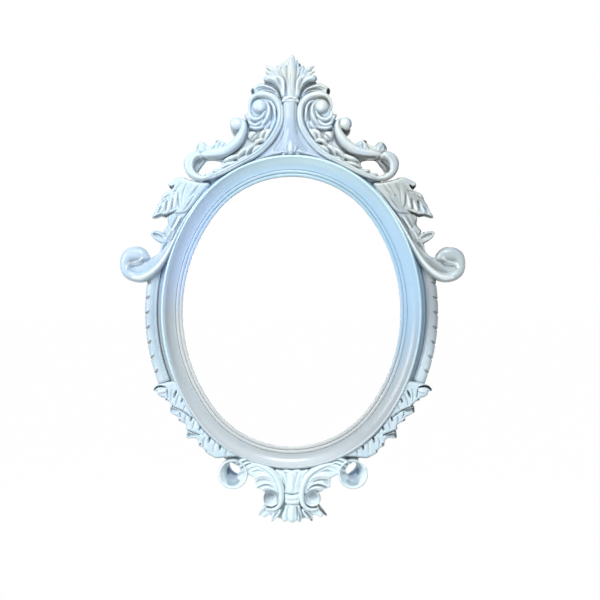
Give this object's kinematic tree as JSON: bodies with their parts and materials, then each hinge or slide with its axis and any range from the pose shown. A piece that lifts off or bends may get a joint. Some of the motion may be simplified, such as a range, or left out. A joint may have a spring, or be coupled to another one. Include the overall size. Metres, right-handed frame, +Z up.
{
  "type": "picture frame",
  "caption": "Open oval photo prop frame: stepped cove moulding with a scrolled leaf crest, side volutes, leaf sprays, a scrolled base drop and two ring hangers on the back",
  "frame": {"origin": "the centre of the oval opening, in the plane of the frame's back", "axes": "+X to the right of the viewer, +Y toward the wall behind the frame, +Z up; the ornament faces -Y"},
  "size_m": [0.6144, 0.0408, 0.8231],
  "materials": {
    "moulding_white": "gloss white paint with a cool cast",
    "ornament_white": "gloss white paint over cast ornament",
    "plate_white": "gloss white paint",
    "rail_white": "gloss white paint",
    "hanger_steel": "plated steel"
  },
  "bodies": {
    "frame": {"back_rail": "rail_white", "cove_moulding": "moulding_white", "sight_bead": "moulding_white", "side_band_left": "moulding_white", "side_band_right": "moulding_white", "crest_plate": "plate_white", "crest_palmette": "ornament_white", "crest_collar": "ornament_white", "crest_neck": "ornament_white", "crest_drop": "ornament_white", "crest_leaf_left": "ornament_white", "crest_leaf_right": "ornament_white", "crest_side_leaf_left": "ornament_white", "crest_side_leaf_right": "ornament_white", "crest_scroll_left": "ornament_white", "crest_scroll_right": "ornament_white", "crest_cabochon_left": "ornament_white", "crest_cabochon_right": "ornament_white", "crest_acanthus_left": "ornament_white", "crest_acanthus_right": "ornament_white", "crest_chain_left": "ornament_white", "crest_chain_right": "ornament_white", "crest_branch_left": "ornament_white", "crest_branch_right": "ornament_white", "crest_frill_left": "ornament_white", "crest_frill_right": "ornament_white", "crest_hook_left": "ornament_white", "crest_hook_right": "ornament_white", "shoulder_leaf_left": "ornament_white", "shoulder_leaf_right": "ornament_white", "side_volute_left": "ornament_white", "side_volute_right": "ornament_white", "spray_upper_left": "ornament_white", "spray_upper_right": "ornament_white", "spray_middle_left": "ornament_white", "spray_middle_right": "ornament_white", "spray_lower_left": "ornament_white", "spray_lower_right": "ornament_white", "lower_loop_left": "ornament_white", "lower_loop_right": "ornament_white", "base_plate": "plate_white", "base_scroll_left": "ornament_white", "base_scroll_right": "ornament_white", "base_frond_left": "ornament_white", "base_frond_right": "ornament_white", "base_cabochon_left": "ornament_white", "base_cabochon_right": "ornament_white", "base_vase": "ornament_white", "base_collar": "ornament_white", "base_palmette": "ornament_white", "base_leaf_left": "ornament_white", "base_leaf_right": "ornament_white", "hanger_strap_left": "hanger_steel", "hanger_strap_right": "hanger_steel", "hanger_screws": "hanger_steel"},
    "ring_left": {"hanger_ring_left": "hanger_steel"},
    "ring_right": {"hanger_ring_right": "hanger_steel"}
  },
  "joints": [
    {"name": "hanger_swing_left", "type": "hinge", "parent": "frame", "child": "ring_left", "pos_m": [-0.2015, -0.00235, 0.11858], "axis": [1, 0, 0], "range_deg": [0, 150]},
    {"name": "hanger_swing_right", "type": "hinge", "parent": "frame", "child": "ring_right", "pos_m": [0.2015, -0.00235, 0.11858], "axis": [1, 0, 0], "range_deg": [0, 150]}
  ]
}
